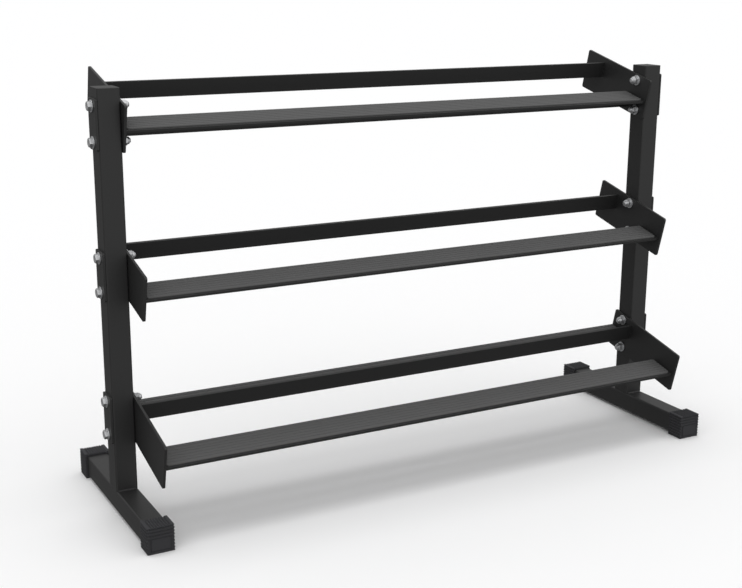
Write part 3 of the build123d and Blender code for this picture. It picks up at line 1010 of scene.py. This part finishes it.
class RACK_OT_weld_beads(bpy.types.Operator):
    """Coated weld beads at the feet of the uprights and under the shelves"""

    bl_idname = "rack.weld_beads"
    bl_label = "Weld beads"

    def execute(self, context):
        paint = material("black_powder_coat", powder_coat)
        for side in SIDES:
            node = f"{side}_base_weld"
            base_weld_surface(node).make(f"{side}_base_bead", paint, "black_powder_coat", [node])
        for shelf in SHELVES:
            node = f"{shelf}_rail_welds"
            shelf_weld_surface(shelf).make(f"{shelf}_rail_beads", paint, "black_powder_coat", [node])
        return {"FINISHED"}


# --- Coated steel ---

class RACK_OT_powder_coat(bpy.types.Operator):
    """Powder coat on the tubes, rails, end plates and backing plates of the frame"""

    bl_idname = "rack.powder_coat"
    bl_label = "Powder coat"

    def execute(self, context):
        paint = material("black_powder_coat", powder_coat)
        for node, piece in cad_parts.items():
            if node.endswith(STEEL_ENDINGS):
                piece.data.materials.clear()
                piece.data.materials.append(paint)
        return {"FINISHED"}


# --- Stage ---

def make_floor(stage):
    """A plain floor that the camera sees. It isn't mirrored in the rack's gloss."""
    half = stage.floor_size / 2
    corners = [(-half, -half, 0), (half, -half, 0), (half, half, 0), (-half, half, 0)]
    mesh = bpy.data.meshes.new("floor")
    mesh.from_pydata(corners, [], [(0, 1, 2, 3)])
    shader = Shader("floor")
    shader.set(Base_Color=(*stage.floor_tone, 1.0), Roughness=1.0, Specular_IOR_Level=0.0)
    mesh.materials.append(shader.material)
    floor = bpy.data.objects.new("floor", mesh)
    floor.visible_glossy = False
    floor.visible_diffuse = False
    bpy.context.scene.collection.objects.link(floor)


SKY_LOW = -0.46         # places along the sky's axis where it is as dim as the ground
SKY_HIGH = 0.85         # and as bright as overhead


def make_sky(stage):
    """Soft light that is brightest overhead and a little in front, and fades to a dim ground.

    Strength goes from ground to sky in step with z cos a - y sin a, where (x, y, z) is the
    direction and a is the sky's tilt."""
    world = bpy.data.worlds.new("studio")
    world.use_nodes = True
    bpy.context.scene.world = world
    tree = world.node_tree
    background = tree.nodes["Background"]
    background.inputs["Color"].default_value = (1.0, 1.0, 1.0, 1.0)
    coordinates = tree.nodes.new("ShaderNodeTexCoord")
    along = tree.nodes.new("ShaderNodeVectorMath")
    along.operation = "DOT_PRODUCT"
    along.inputs[1].default_value = (0.0, -sin(stage.sky_tilt), cos(stage.sky_tilt))
    fade = tree.nodes.new("ShaderNodeMapRange")
    ends = {"From Min": SKY_LOW, "From Max": SKY_HIGH,
            "To Min": stage.ground_strength, "To Max": stage.sky_strength}
    for socket, value in ends.items():
        fade.inputs[socket].default_value = value
    tree.links.new(coordinates.outputs["Generated"], along.inputs[0])
    tree.links.new(along.outputs["Value"], fade.inputs["Value"])
    tree.links.new(fade.outputs[0], background.inputs["Strength"])


def make_key(stage):
    """A soft overhead light that brightens the floor. It isn't mirrored in the rack's gloss."""
    lamp = bpy.data.lights.new("key", "SUN")
    lamp.energy = stage.key_strength
    lamp.angle = stage.key_angle
    key = bpy.data.objects.new("key", lamp)
    key.visible_glossy = False
    key.matrix_world = Matrix.Rotation(stage.key_lean, 4, "X")
    bpy.context.scene.collection.objects.link(key)


def make_camera(stage):
    """Camera turned by yaw, then pitch, then roll about its own line of sight."""
    camera = bpy.data.objects.new("camera", bpy.data.cameras.new("camera"))
    camera.data.sensor_width = 36.0
    camera.data.lens = stage.focal_length
    camera.data.clip_end = 1000.0
    camera.matrix_world = (Matrix.Translation(stage.camera_place)
                           @ Matrix.Rotation(-stage.camera_yaw, 4, "Z")
                           @ Matrix.Rotation(pi / 2 + stage.camera_pitch, 4, "X")
                           @ Matrix.Rotation(stage.camera_roll, 4, "Z"))
    bpy.context.scene.collection.objects.link(camera)
    bpy.context.scene.camera = camera


class RACK_OT_stage(bpy.types.Operator):
    """Pale floor, soft light and camera"""

    bl_idname = "rack.stage"
    bl_label = "Stage"

    def execute(self, context):
        stage = context.scene.rack_stage
        make_floor(stage)
        make_sky(stage)
        make_key(stage)
        make_camera(stage)
        context.scene.view_settings.view_transform = "Standard"
        return {"FINISHED"}


class RACK_PT_panel(bpy.types.Panel):
    """Lists the rack's operators, sizes and finishes"""

    bl_idname = "RACK_PT_panel"
    bl_label = "Dumbbell rack"
    bl_space_type = "VIEW_3D"
    bl_region_type = "UI"
    bl_category = "Rack"

    def draw(self, context):
        layout = self.layout
        for operator in OPERATORS:
            layout.operator(operator.bl_idname)
        for group in (context.scene.rack_sizes, context.scene.rack_finish, context.scene.rack_stage):
            column = layout.column()
            for name in group.__annotations__:
                column.prop(group, name)


OPERATORS = (RACK_OT_powder_coat, RACK_OT_ribbed_mats, RACK_OT_foot_caps, RACK_OT_upright_caps,
             RACK_OT_fasteners, RACK_OT_weld_beads, RACK_OT_stage)
GROUPS = {"rack_sizes": RackSizes, "rack_finish": RackFinish, "rack_stage": RackStage}
CLASSES = (*GROUPS.values(), *OPERATORS, RACK_PT_panel)


def register():
    for cls in CLASSES:
        bpy.utils.register_class(cls)
    for name, group in GROUPS.items():
        setattr(bpy.types.Scene, name, PointerProperty(type=group))


def unregister():
    for name in GROUPS:
        delattr(bpy.types.Scene, name)
    for cls in reversed(CLASSES):
        bpy.utils.unregister_class(cls)


def main():
    register()
    bpy.ops.rack.powder_coat()
    bpy.ops.rack.ribbed_mats()
    bpy.ops.rack.foot_caps()
    bpy.ops.rack.upright_caps()
    bpy.ops.rack.fasteners()
    bpy.ops.rack.weld_beads()
    bpy.ops.rack.stage()


if __name__ == "__main__":
    main()
